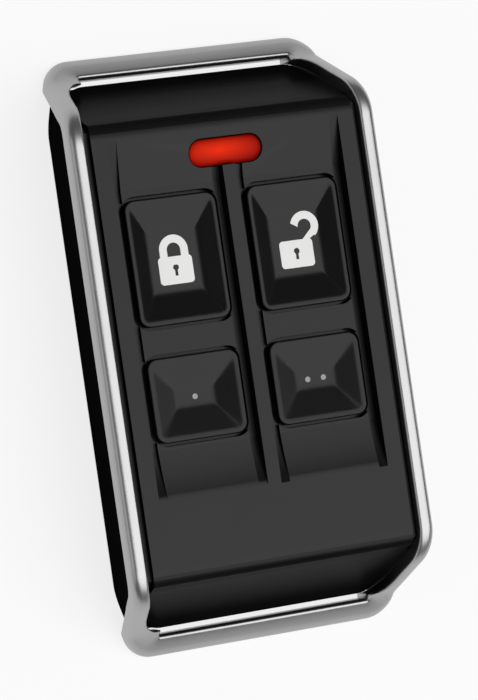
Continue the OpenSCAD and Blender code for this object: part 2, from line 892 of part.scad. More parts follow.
module lock_key() {
    color("black")
        difference() {
            upper_key(upper_left);
            upper_inlay(upper_left)
                closed_padlock();
        }
}

module unlock_key() {
    color("black")
        difference() {
            upper_key(upper_right);
            upper_inlay(upper_right)
                open_padlock();
        }
}

module one_dot_key() {
    color("black")
        difference() {
            lower_key(lower_left);
            lower_inlay(lower_left)
                one_dot();
        }
}

module two_dot_key() {
    color("black")
        difference() {
            lower_key(lower_right);
            lower_inlay(lower_right)
                two_dots();
        }
}

// Mark let into a surface at the given height
module inlay(place, height) {
    translate([place.x, place.y, height - mark_inlay])
        linear_extrude(mark_inlay + mark_height)
            children();
}

// Mark in the dish of an upper key
module upper_inlay(place) {
    inlay(place + sign_offset, upper_dish_base)
        children();
}

// Mark in the dish of a lower key
module lower_inlay(place) {
    inlay(place, lower_dish_base)
        children();
}

// Body of a padlock sign with its keyhole, its top edge on the X axis
module padlock_body() {
    difference() {
        translate([0, -lock_height / 2])
            rounded_plate(lock_width, lock_height, lock_corner);
        translate([0, keyhole_rise - lock_height / 2]) {
            circle(d = keyhole_width);
            translate([-keyhole_slot / 2, -keyhole_drop])
                square([keyhole_slot, keyhole_drop]);
        }
    }
}

// Upper half of a padlock shackle about its middle
module shackle_arch() {
    difference() {
        circle(d = shackle_width);
        circle(d = shackle_width - 2 * shackle_bar);
        translate([-shackle_width, -2 * shackle_width - shackle_bar / 2])
            square(2 * shackle_width);
    }
}

// Round-topped plate about the middle of its arch, with a straight drop below
module arch_plate(width, drop) {
    circle(d = width);
    translate([-width / 2, -drop])
        square([width, drop]);
}

// Padlock sign with the shackle home
module closed_padlock() {
    arch_y = shackle_height - shackle_width / 2;
    padlock_body();
    translate([0, arch_y])
        difference() {
            arch_plate(shackle_width, arch_y + shackle_bar / 2);
            arch_plate(shackle_width - 2 * shackle_bar, arch_y + shackle_bar);
        }
}

// Padlock sign with the shackle swung out to the right
module open_padlock() {
    middle = [open_shift, open_rise];
    swing = [cos(open_turn), -sin(open_turn)];
    leg_foot = lock_width / 2 - lock_corner / 2;
    padlock_body();
    translate(middle)
        rotate(-open_turn)
            shackle_arch();
    polygon([
        [leg_foot, -lock_corner],
        [leg_foot, 0],
        middle + swing * shackle_width / 2,
        middle + swing * (shackle_width / 2 - shackle_bar),
        [leg_foot - shackle_bar, 0],
        [leg_foot - shackle_bar, -lock_corner]
    ]);
}

module one_dot() {
    circle(d = dot_width);
}

module two_dots() {
    for (side = [-1, 1])
        translate([side * dot_pitch / 2, 0])
            circle(d = dot_width);
}

module lock_symbol() {
    color("white")
        upper_inlay(upper_left)
            closed_padlock();
}

module unlock_symbol() {
    color("white")
        upper_inlay(upper_right)
            open_padlock();
}

module one_dot_mark() {
    color("white")
        lower_inlay(lower_left)
            one_dot();
}

module two_dot_marks() {
    color("white")
        lower_inlay(lower_right)
            two_dots();
}

// Carbon pill under the roof of a dome
module pill(place) {
    color("darkslategray")
        translate([place.x, place.y, pill_base])
            cylinder(h = pill_thickness, d = pill_width);
}

module lock_pill() {
    pill(upper_left);
}

module unlock_pill() {
    pill(upper_right);
}

module one_dot_pill() {
    pill(lower_left);
}

module two_dot_pill() {
    pill(lower_right);
}

// Rubber dome over a contact, hollow up to the pill
module dome(place) {
    foot_inner = dome_foot / 2 - dome_wall;
    roof_inner = pill_width / 2 + pill_play;
    color("lightgray")
        translate([place.x, place.y, 0])
            rotate_extrude()
                polygon([
                    [foot_inner, mat_top],
                    [dome_foot / 2, mat_top],
                    [dome_top_width / 2, dome_top],
                    [0, dome_top],
                    [0, pill_top],
                    [roof_inner, pill_top]
                ]);
}

module lock_dome() {
    dome(upper_left);
}

module unlock_dome() {
    dome(upper_right);
}

module one_dot_dome() {
    dome(lower_left);
}

module two_dot_dome() {
    dome(lower_right);
}

// Rubber sheet that carries the domes, open under each of them
module keypad_mat() {
    mat_width = 2 * key_x + key_width + 2 * mat_border;
    color("lightgray")
        difference() {
            translate([0, (mat_upper + mat_lower) / 2, board_top])
                linear_extrude(mat_thickness)
                    rounded_plate(mat_width, mat_upper - mat_lower, key_corner);
            for (key = KEYS)
                translate([key[0].x, key[0].y, board_top - over])
                    cylinder(h = mat_thickness + 2 * over, d = dome_foot - 2 * dome_wall);
        }
}

// Circuit board with holes for the pins and the screw boss
module circuit_board() {
    color("darkgreen")
        difference() {
            translate([0, 0, board_base])
                linear_extrude(board_thickness)
                    rounded_plate(2 * board_half, 2 * board_end, board_corner);
            for (x = [-post_x, post_x], y = [-post_y, post_y])
                translate([x, y, board_base - over])
                    cylinder(h = board_thickness + 2 * over, d = pin_width + 2 * pin_gap);
            translate([0, screw_y, board_base - over])
                cylinder(h = board_thickness + 2 * over, r = board_hole);
        }
}

// Split round pads under the pills
module contact_pads() {
    color("gold")
        for (key = KEYS)
            translate([key[0].x, key[0].y, board_top])
                difference() {
                    cylinder(h = plating, d = pad_width);
                    translate([-pad_width, -pad_split / 2, -over])
                        cube([2 * pad_width, pad_split, plating + 2 * over]);
                }
}

// Block that stands on the front of the board
module board_block(x, y, size) {
    translate([x - size.x / 2, y - size.y / 2, board_top])
        cube(size);
}

// Light emitter under the lens
module indicator_led() {
    color("ivory")
        board_block(0, lens_y, [emitter_width, emitter_length, emitter_height]);
}

module controller_chip() {
    color("black")
        board_block(-controller_x, controller_y, [controller_width, controller_width, chip_height]);
}

module radio_chip() {
    color("black")
        board_block(radio_x, radio_y, [radio_width, radio_width, chip_height]);
}

// Crystal beside the radio chip
module crystal_can() {
    color("silver")
        board_block(crystal_x, radio_y, [crystal_width, crystal_length, crystal_height]);
}

// Resistors and capacitors in a row over the screw boss, and two beside the emitter
module small_chips() {
    row_y = screw_y + board_hole + small_length;
    color("saddlebrown") {
        for (i = [-1:1])
            board_block(i * small_pitch, row_y, [small_width, small_length, small_width]);
        for (side = [-1, 1])
            board_block(side * (2 * emitter_width + small_pitch), lens_y,
                [small_length, small_width, small_width]);
    }
}

// Loop track along the lower edge of the board, its legs beside the board posts
module antenna_track() {
    outer = post_x - post_width / 2 - antenna_inset;
    lower = antenna_inset - board_end;
    color("goldenrod")
        translate([0, 0, board_top]) {
            translate([-outer, lower, 0])
                cube([2 * outer, antenna_width, plating]);
            for (side = [0, 1])
                mirror([side, 0, 0])
                    translate([outer - antenna_width, lower, 0])
                        cube([antenna_width, antenna_leg + antenna_width, plating]);
        }
}

// Positive can of the coin cell, towards the back
module cell_can() {
    color("lightsteelblue")
        translate([0, cell_offset, 0])
            difference() {
                translate([0, 0, cell_base])
                    cylinder(h = can_top - cell_base, r = can_radius);
                translate([0, 0, inner_base])
                    cylinder(h = cell_height, r = can_radius - can_wall);
            }
}

// Negative cap of the coin cell with its filling, towards the board
module cell_cap() {
    color("gainsboro")
        translate([0, cell_offset, inner_base])
            cylinder(h = cell_top - inner_base, r = cap_radius);
}

// Sealing ring between can and cap
module cell_seal() {
    color("dimgray")
        translate([0, cell_offset, inner_base])
            difference() {
                cylinder(h = can_top - inner_base, r = seal_outer);
                translate([0, 0, -over])
                    cylinder(h = cell_height + 2 * over, r = seal_inner);
            }
}

// Strip that leans on the side of the can and is soldered to the back of the board
module positive_clip() {
    color("khaki")
        translate([0, clip_y, 0])
            across(
                [
                    [0, cell_base + can_wall],
                    [strip, cell_base + can_wall],
                    [strip, board_base - strip],
                    [strip_foot, board_base - strip],
                    [strip_foot, board_base],
                    [0, board_base]
                ],
                strip_width);
}

// Sprung strip from the back of the board down to the cap
module negative_contact() {
    touch = cell_top + touch_gap;
    tongue_end = tongue_length / 2;
    color("khaki")
        translate([0, cell_offset, 0])
            along(
                [
                    [-tongue_end - strip_foot, board_base],
                    [-tongue_end - strip_foot, board_base - strip],
                    [-tongue_end, board_base - strip],
                    [tongue_end - tongue_tip, touch],
                    [tongue_end, touch],
                    [tongue_end, touch + strip],
                    [tongue_end - tongue_tip, touch + strip],
                    [-tongue_end, board_base]
                ],
                strip_width);
}

trim_frame();
front_cover();
rear_cover();
case_screw();
led_lens();
lock_key();
unlock_key();
one_dot_key();
two_dot_key();
lock_symbol();
unlock_symbol();
one_dot_mark();
two_dot_marks();
lock_pill();
unlock_pill();
one_dot_pill();
two_dot_pill();
keypad_mat();
lock_dome();
unlock_dome();
one_dot_dome();
two_dot_dome();
circuit_board();
contact_pads();
indicator_led();
controller_chip();
radio_chip();
crystal_can();
small_chips();
antenna_track();
cell_can();
cell_cap();
cell_seal();
positive_clip();
negative_contact();
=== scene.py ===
"""Looks of a slim alarm key fob: black case, satin trim frame, four sprung keys and a red signal light.

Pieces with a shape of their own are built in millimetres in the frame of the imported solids, and turned into
metres when their mesh is made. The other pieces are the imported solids, as they are or with broken edges.
"""

import json
import logging
import math
from dataclasses import dataclass, field
from enum import Enum
from typing import ClassVar, Sequence

import bmesh
import bpy
from mathutils import Matrix, Vector

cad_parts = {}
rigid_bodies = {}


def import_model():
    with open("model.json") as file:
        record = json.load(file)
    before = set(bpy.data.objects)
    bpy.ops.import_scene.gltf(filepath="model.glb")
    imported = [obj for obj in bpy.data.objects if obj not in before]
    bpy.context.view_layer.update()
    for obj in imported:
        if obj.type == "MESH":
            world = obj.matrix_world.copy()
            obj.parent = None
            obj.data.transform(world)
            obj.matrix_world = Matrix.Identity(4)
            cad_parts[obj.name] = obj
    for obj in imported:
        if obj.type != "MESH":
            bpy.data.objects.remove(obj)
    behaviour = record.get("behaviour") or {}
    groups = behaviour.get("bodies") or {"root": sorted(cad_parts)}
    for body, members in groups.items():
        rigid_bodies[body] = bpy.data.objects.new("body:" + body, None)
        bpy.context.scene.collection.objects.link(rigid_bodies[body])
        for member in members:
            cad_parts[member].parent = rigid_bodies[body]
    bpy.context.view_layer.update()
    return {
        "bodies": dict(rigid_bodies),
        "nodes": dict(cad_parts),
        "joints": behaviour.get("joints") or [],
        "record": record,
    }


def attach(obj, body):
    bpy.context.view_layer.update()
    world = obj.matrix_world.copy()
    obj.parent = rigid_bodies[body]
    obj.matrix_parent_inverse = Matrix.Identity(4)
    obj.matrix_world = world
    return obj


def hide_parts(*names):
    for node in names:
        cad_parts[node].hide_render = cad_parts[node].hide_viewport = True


LOG = logging.getLogger("key_fob")
MM = 0.001

Point = tuple[float, float]
Pair = tuple[Point, Point]
Place = tuple[float, float, float]
Colour = tuple[float, float, float]
Span = tuple[float, float]


def mix(a: float, b: float, share: float) -> float:
    """Return the value that lies at a share of the way from a to b."""
    return a + (b - a) * share


def spread(start: float, end: float, count: int) -> list[float]:
    """Return evenly spaced values from start to end, both included."""
    return [mix(start, end, i / (count - 1)) for i in range(count)]


def quarter(count: int) -> list[float]:
    """Return angles from level to upright, in radians."""
    return spread(0.0, math.pi / 2, count)


def rounded(points: Sequence[Point], radii: Sequence[float], steps: int) -> list[Point]:
    """Round the corners of a closed outline.

    Args:
        points: Corners of the outline in order.
        radii: Radius of each corner.
        steps: Chords in each rounded corner.

    Returns:
        The outline with an arc in place of each corner.
    """
    outline: list[Point] = []
    count = len(points)
    for i, radius in enumerate(radii):
        corner = Vector(points[i])
        back = (Vector(points[i - 1]) - corner).normalized()
        ahead = (Vector(points[(i + 1) % count]) - corner).normalized()
        opening = back.angle(ahead)
        middle = corner + (back + ahead).normalized() * radius / math.sin(opening / 2)
        arm = corner + back * radius / math.tan(opening / 2) - middle
        side = 1.0 if back.x * ahead.y - back.y * ahead.x < 0 else -1.0
        for step in range(steps + 1):
            turn = side * (math.pi - opening) * step / steps
            cos, sin = math.cos(turn), math.sin(turn)
            outline.append((middle.x + arm.x * cos - arm.y * sin, middle.y + arm.x * sin + arm.y * cos))
    return outline


def plate(width: float, length: float, corner: float, steps: int, side: int) -> list[Point]:
    """Return the outline of a rectangle about the middle with rounded corners.

    Args:
        width: Size across.
        length: Size along.
        corner: Radius of the corners.
        steps: Chords in each corner.
        side: Chords on each straight side.

    Returns:
        The outline, starting with a corner.
    """
    x, y = width / 2, length / 2
    arcs = rounded([(x, -y), (x, y), (-x, y), (-x, -y)], [corner] * 4, steps)
    outline: list[Point] = []
    for i, point in enumerate(arcs):
        outline.append(point)
        if (i + 1) % (steps + 1) == 0:
            after = arcs[(i + 1) % len(arcs)]
            outline += [(mix(point[0], after[0], n / side), mix(point[1], after[1], n / side))
                        for n in range(1, side)]
    return outline


class Surface:
    """Points and faces of one piece, gathered in millimetres."""

    merge_distance: ClassVar[float] = 0.0005
    thin_edge: ClassVar[float] = 0.0002

    def __init__(self, name: str) -> None:
        """Start an empty surface.

        Args:
            name: Name of the piece.
        """
        self.name = name
        self.points: list[Place] = []
        self.faces: list[tuple[int, ...]] = []

    def row(self, points: Sequence[Place]) -> list[int]:
        """Add a row of points.

        Args:
            points: Places of the points in order.

        Returns:
            The numbers of the new points.
        """
        first = len(self.points)
        self.points.extend(points)
        return list(range(first, len(self.points)))

    def loop(self, outline: Sequence[Point], height: float, place: Point) -> list[int]:
        """Add a level outline about a place and return the numbers of its points."""
        return self.row([(place[0] + x, place[1] + y, height) for x, y in outline])

    def band(self, first: Sequence[int], second: Sequence[int]) -> None:
        """Join two closed rows with four-sided faces.

        Args:
            first: Numbers of the points of one row.
            second: As many numbers of the other row.
        """
        count = len(first)
        for i in range(count):
            j = (i + 1) % count
            self.faces.append((first[i], first[j], second[j], second[i]))

    def bands(self, rows: Sequence[Sequence[int]]) -> None:
        """Join each closed row to the next."""
        for first, second in zip(rows, rows[1:]):
            self.band(first, second)

    def enclose(self, rows: Sequence[Sequence[int]]) -> None:
        """Join each closed row to the next, and close the last and the first with one face each."""
        self.bands(rows)
        self.faces += [tuple(rows[-1]), tuple(reversed(rows[0]))]

    def build(self, crease: float) -> bpy.types.Object:
        """Make the object.

        Args:
            crease: Edges that bend by more than this many degrees stay sharp.

        Returns:
            The new object, linked to the scene.
        """
        mesh = bpy.data.meshes.new(self.name)
        mesh.from_pydata([Vector(p) * MM for p in self.points], [], self.faces)
        work = bmesh.new()
        work.from_mesh(mesh)
        bmesh.ops.remove_doubles(work, verts=work.verts, dist=self.merge_distance * MM)
        bmesh.ops.dissolve_degenerate(work, edges=work.edges, dist=self.thin_edge * MM)
        bmesh.ops.recalc_face_normals(work, faces=work.faces)
        work.to_mesh(mesh)
        work.free()
        mesh.polygons.foreach_set("use_smooth", [True] * len(mesh.polygons))
        mesh.set_sharp_from_angle(angle=math.radians(crease))
        piece = bpy.data.objects.new(self.name, mesh)
        bpy.context.scene.collection.objects.link(piece)
        return piece


class Grain(Enum):
    """How the fine texture of a finish runs."""

    EVEN = (1.0, 1.0, 1.0)
    LENGTHWISE = (1.0, 0.06, 1.0)


@dataclass(frozen=True)
class PaintedGlow:
    """Painted glow: a soft spot of lighter, more orange colour painted within a clear piece, standing for
    light from within it, in millimetres.
    """

    colour: Colour
    place: Place
    reach: Place


@dataclass(frozen=True)
class Finish:
    """Surface of a piece: colour that drifts between two tones, gloss that varies, and a fine relief; some
    finishes add a painted glow and painted shade at the edges.

    Sizes are in millimetres. A lean is zero on an upright side and one on a level face.
    """

    name: str
    colour: Colour
    tone: Colour
    gloss: Span
    grain_size: float
    relief: float
    grain: Grain = Grain.EVEN
    drift_size: float = 6.0
    metal: float = 0.0
    specular: float = 0.5
    side_specular: float | None = None
    # rim is the colour of painted shade where the surface turns away from view; the glow field is a painted
    # glow within a clear piece
    rim: Colour | None = None
    painted_glow: PaintedGlow | None = None
    wear: float = 0.08
    worn_from: float = 0.52
    worn_full: float = 0.62
    edge_shade_blend: float = 0.6
    fine_detail: float = 3.0
    broad_detail: float = 2.0
    upright_lean: float = 0.10
    slope_leans: Span = (0.35, 0.80)
    level_lean: float = 0.98

    @property
    def label(self) -> str:
        """Name of the finish's own material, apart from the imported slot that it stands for."""
        return self.name + "_finish"

    def material(self) -> bpy.types.Material:
        """Return the finish as a material, made once and shared."""
        found = bpy.data.materials.get(self.label)
        return found if found else self._make()

    def _make(self) -> bpy.types.Material:
        """Build the material's nodes.

        Returns:
            The new material.
        """
        material = bpy.data.materials.new(self.label)
        material.use_nodes = True
        tree = material.node_tree
        shader = tree.nodes["Principled BSDF"]
        shader.inputs["Metallic"].default_value = self.metal
        shader.inputs["Specular IOR Level"].default_value = self.specular
        place = tree.nodes.new("ShaderNodeTexCoord")
        tree.links.new(self._colours(tree, place), shader.inputs["Base Color"])
        self._grain(tree, place, shader)
        if self.side_specular is not None:
            self._polish(tree, place, shader)
        return material

    def _colours(self, tree: bpy.types.NodeTree, place: bpy.types.Node) -> bpy.types.NodeSocket:
        """Let the colour drift between the two tones, with the painted glow and the painted edge shade that
        the finish has.

        Args:
            tree: Nodes of the material.
            place: Node that gives places on the surface.

        Returns:
            The socket of the colour.
        """
        broad = self._noise(tree, self.drift_size, self.broad_detail)
        tones = tree.nodes.new("ShaderNodeMix")
        tones.data_type = "RGBA"
        tones.inputs["A"].default_value = (*self.colour, 1.0)
        tones.inputs["B"].default_value = (*self.tone, 1.0)
        tree.links.new(place.outputs["Object"], broad.inputs["Vector"])
        tree.links.new(broad.outputs["Fac"], tones.inputs["Factor"])
        colour = tones.outputs["Result"]
        if self.painted_glow is not None:
            colour = self._paint_glow(tree, place, colour)
        return colour if self.rim is None else self._paint_edge_shade(tree, colour)

    def _grain(self, tree: bpy.types.NodeTree, place: bpy.types.Node, shader: bpy.types.Node) -> None:
        """Vary the gloss and the relief with a fine grain.

        Args:
            tree: Nodes of the material.
            place: Node that gives places on the surface.
            shader: Node that takes the gloss and the relief.
        """
        run = tree.nodes.new("ShaderNodeMapping")
        run.inputs["Scale"].default_value = self.grain.value
        fine = self._noise(tree, self.grain_size, self.fine_detail)
        tree.links.new(place.outputs["Object"], run.inputs["Vector"])
        tree.links.new(run.outputs["Vector"], fine.inputs["Vector"])
        gloss = tree.nodes.new("ShaderNodeMapRange")
        gloss.inputs["To Min"].default_value, gloss.inputs["To Max"].default_value = self.gloss
        tree.links.new(fine.outputs["Fac"], gloss.inputs["Value"])
        tree.links.new(self._worn(tree, gloss), shader.inputs["Roughness"])
        bump = tree.nodes.new("ShaderNodeBump")
        bump.inputs["Strength"].default_value = self.relief
        bump.inputs["Distance"].default_value = self.grain_size * MM
        tree.links.new(fine.outputs["Fac"], bump.inputs["Height"])
        tree.links.new(bump.outputs["Normal"], shader.inputs["Normal"])

    def _worn(self, tree: bpy.types.NodeTree, gloss: bpy.types.Node) -> bpy.types.NodeSocket:
        """Leave outer edges smoother than the rest, as hands and pockets wear them.

        Args:
            tree: Nodes of the material.
            gloss: Node that gives the roughness of the surface.

        Returns:
            The socket of the worn roughness.
        """
        shape = tree.nodes.new("ShaderNodeNewGeometry")
        edge = tree.nodes.new("ShaderNodeMapRange")
        edge.inputs["From Min"].default_value = self.worn_from
        edge.inputs["From Max"].default_value = self.worn_full
        edge.inputs["To Max"].default_value = self.wear
        worn = tree.nodes.new("ShaderNodeMath")
        worn.operation = "SUBTRACT"
        tree.links.new(shape.outputs["Pointiness"], edge.inputs["Value"])
        tree.links.new(gloss.outputs["Result"], worn.inputs[0])
        tree.links.new(edge.outputs["Result"], worn.inputs[1])
        return worn.outputs["Value"]

    def _paint_glow(self, tree: bpy.types.NodeTree, place: bpy.types.Node,
             colour: bpy.types.NodeSocket) -> bpy.types.NodeSocket:
        """Paint a glow into the colour around its place: painted light that stands for light from within the
        piece.

        Args:
            tree: Nodes of the material.
            place: Node that gives places on the surface.
            colour: Socket of the colour without the painted glow.

        Returns:
            The socket of the colour with the painted glow.
        """
        run = tree.nodes.new("ShaderNodeMapping")
        run.inputs["Location"].default_value = [-p / r for p, r in zip(self.painted_glow.place, self.painted_glow.reach)]
        run.inputs["Scale"].default_value = [1 / (r * MM) for r in self.painted_glow.reach]
        ball = tree.nodes.new("ShaderNodeTexGradient")
        ball.gradient_type = "SPHERICAL"
        glow_paint = tree.nodes.new("ShaderNodeMix")
        glow_paint.data_type = "RGBA"
        glow_paint.inputs["B"].default_value = (*self.painted_glow.colour, 1.0)
        tree.links.new(place.outputs["Object"], run.inputs["Vector"])
        tree.links.new(run.outputs["Vector"], ball.inputs["Vector"])
        tree.links.new(ball.outputs["Fac"], glow_paint.inputs["Factor"])
        tree.links.new(colour, glow_paint.inputs["A"])
        return glow_paint.outputs["Result"]

    def _paint_edge_shade(self, tree: bpy.types.NodeTree, colour: bpy.types.NodeSocket) -> bpy.types.NodeSocket:
        """Darken the colour where the surface turns away from view: painted shade along the edges, in place
        of the depth of thick clear plastic.

        Args:
            tree: Nodes of the material.
            colour: Socket of the colour of the surface.

        Returns:
            The socket of the colour with the painted edge shade.
        """
        # Painted shade: the colour turns towards the rim colour where the surface faces away from view
        turn = tree.nodes.new("ShaderNodeLayerWeight")
        turn.inputs["Blend"].default_value = self.edge_shade_blend
        edge_shade = tree.nodes.new("ShaderNodeMix")
        edge_shade.data_type = "RGBA"
        edge_shade.inputs["B"].default_value = (*self.rim, 1.0)
        tree.links.new(turn.outputs["Facing"], edge_shade.inputs["Factor"])
        tree.links.new(colour, edge_shade.inputs["A"])
        return edge_shade.outputs["Result"]

    def _polish(self, tree: bpy.types.NodeTree, place: bpy.types.Node, shader: bpy.types.Node) -> None:
        """Leave the slopes duller than face and back, and upright sides without sheen.

        Args:
            tree: Nodes of the material.
            place: Node that gives the surface's own directions.
            shader: Node that takes the sheen.
        """
        split = tree.nodes.new("ShaderNodeSeparateXYZ")
        sheen = tree.nodes.new("ShaderNodeValToRGB")
        stops = sheen.color_ramp.elements
        stops[0].position, stops[0].color = self.upright_lean, (0.0, 0.0, 0.0, 1.0)
        stops[1].position, stops[1].color = self.level_lean, (self.specular,) * 3 + (1.0,)
        for position in self.slope_leans:
            stops.new(position).color = (self.side_specular,) * 3 + (1.0,)
        lean = tree.nodes.new("ShaderNodeMath")
        lean.operation = "ABSOLUTE"
        tree.links.new(place.outputs["Normal"], split.inputs["Vector"])
        tree.links.new(split.outputs["Z"], lean.inputs[0])
        tree.links.new(lean.outputs["Value"], sheen.inputs["Fac"])
        tree.links.new(sheen.outputs["Color"], shader.inputs["Specular IOR Level"])

    @staticmethod
    def _noise(tree: bpy.types.NodeTree, size: float, detail: float) -> bpy.types.Node:
        """Add a noise texture.

        Args:
            tree: Nodes of the material.
            size: About how wide its marks are, in millimetres.
            detail: How much finer texture lies within the marks.

        Returns:
            The node of the texture.
        """
        noise = tree.nodes.new("ShaderNodeTexNoise")
        noise.inputs["Scale"].default_value = 1 / (size * MM)
        noise.inputs["Detail"].default_value = detail
        return noise

    def dress(self, piece: bpy.types.Object) -> None:
        """Give a piece this finish alone."""
        piece.data.materials.clear()
        piece.data.materials.append(self.material())


class Coat(Enum):
    """The finishes of the fob."""

    CASE = Finish("case_black", (0.0035, 0.0035, 0.0038), (0.0055, 0.0055, 0.0058), (0.30, 0.40), 0.12, 0.05,
                  specular=0.25, side_specular=0.035)
    KEY = Finish("key_black", (0.0030, 0.0030, 0.0033), (0.0045, 0.0045, 0.0048), (0.22, 0.30), 0.10, 0.03,
                 specular=0.25)
    TRIM = Finish("trim_silver", (0.36, 0.36, 0.365), (0.41, 0.41, 0.415), (0.30, 0.40), 0.08, 0.03,
                  grain=Grain.LENGTHWISE, metal=1.0)
    MARK = Finish("mark_white", (0.80, 0.80, 0.79), (0.86, 0.86, 0.85), (0.42, 0.55), 0.06, 0.05)
    DOT = Finish("dot_grey", (0.28, 0.28, 0.28), (0.34, 0.34, 0.34), (0.42, 0.55), 0.06, 0.05)
    # The lens's orange spot is a painted glow and its darker edges are painted shade; the lens gives no light
    LENS = Finish("lens_red", (0.22, 0.001, 0.001), (0.30, 0.003, 0.002), (0.16, 0.24), 0.4, 0.02,
                  drift_size=3.0, specular=0.02, rim=(0.05, 0.001, 0.001),
                  painted_glow=PaintedGlow((1.0, 0.035, 0.006), (-0.8, 20.25, 12.1), (5.6, 1.8, 3.0)))
    STEEL = Finish("screw_steel", (0.46, 0.46, 0.47), (0.54, 0.54, 0.55), (0.24, 0.38), 0.08, 0.06, metal=1.0)
    CARBON = Finish("carbon", (0.012, 0.012, 0.012), (0.020, 0.020, 0.020), (0.70, 0.85), 0.10, 0.12)
    RUBBER = Finish("keypad_rubber", (0.20, 0.20, 0.21), (0.24, 0.24, 0.25), (0.60, 0.72), 0.14, 0.08)
    BOARD = Finish("board_green", (0.010, 0.085, 0.030), (0.014, 0.110, 0.040), (0.28, 0.40), 0.30, 0.06)
    GOLD = Finish("plated_gold", (0.83, 0.58, 0.20), (0.88, 0.64, 0.26), (0.20, 0.32), 0.06, 0.04, metal=1.0)
    EMITTER = Finish("emitter_white", (0.78, 0.77, 0.68), (0.84, 0.83, 0.74), (0.35, 0.48), 0.10, 0.04)
    CHIP = Finish("chip_black", (0.018, 0.018, 0.019), (0.028, 0.028, 0.030), (0.52, 0.66), 0.06, 0.10)
    CAN = Finish("can_steel", (0.62, 0.61, 0.59), (0.68, 0.67, 0.65), (0.18, 0.30), 0.10, 0.03, metal=1.0)
    FILLING = Finish("cell_filling", (0.50, 0.50, 0.50), (0.57, 0.57, 0.57), (0.24, 0.36), 0.12, 0.03,
                     metal=1.0)
    SEAL = Finish("seal_grey", (0.32, 0.32, 0.33), (0.38, 0.38, 0.39), (0.48, 0.60), 0.10, 0.05)
    CERAMIC = Finish("chip_ceramic", (0.42, 0.34, 0.24), (0.50, 0.41, 0.30), (0.40, 0.52), 0.08, 0.06)
    SPRING = Finish("contact_spring", (0.60, 0.58, 0.54), (0.67, 0.65, 0.60), (0.20, 0.32), 0.08, 0.04,
                    metal=1.0)

    def dress(self, piece: bpy.types.Object) -> None:
        """Give a piece this finish."""
        self.value.dress(piece)


@dataclass(frozen=True)
class CaseForm:
    """Side view and plan that the case and the trim share, in millimetres."""

    face: float = 12.3
    crease: float = 24.2
    slope: float = math.radians(64)
    taper_start: float = 24.5
    taper_end: float = 32.4675
    taper: float = 2.4
    taper_radius: float = 12.0

    @property
    def taper_rate(self) -> float:
        """Narrowing of one side for each millimetre of length."""
        return self.taper / (self.taper_end - self.taper_start)

    def corner(self, face_shift: float, slope_shift: float) -> float:
        """Return where a face and a slope meet that are moved outwards by the given distances."""
        return self.crease - face_shift / math.tan(self.slope) + slope_shift / math.sin(self.slope)

    def level(self, y: float, face_shift: float, slope_shift: float, bend: float) -> float:
        """Return the height of a level face with straight end slopes.

        Args:
            y: Place along the length.
            face_shift: How far the face is moved outwards.
            slope_shift: How far the slopes are moved outwards.
            bend: Radius between face and slope.

        Returns:
            Height over the back.
        """
        corner = self.corner(face_shift, slope_shift)
        reach = abs(y) - corner + bend * math.tan(self.slope / 2)
        top = self.face + face_shift
        if reach <= 0:
            return top
        if reach < bend * math.sin(self.slope):
            return top - bend + math.sqrt(bend * bend - reach * reach)
        return top - (abs(y) - corner) * math.tan(self.slope)

    def narrowing(self, y: float) -> float:
        """Return how far each side has drawn in.

        Args:
            y: Place along the length.

        Returns:
            Distance from the full half width.
        """
        angle = math.atan(self.taper_rate)
        ease = self.taper_radius * math.tan(angle / 2)
        reach = abs(y) - self.taper_start + ease
        if reach <= 0:
            return 0.0
        if reach < self.taper_radius * math.sin(angle):
            return self.taper_radius - math.sqrt(self.taper_radius ** 2 - reach ** 2)
        return self.taper_rate * (abs(y) - self.taper_start)


FORM = CaseForm()


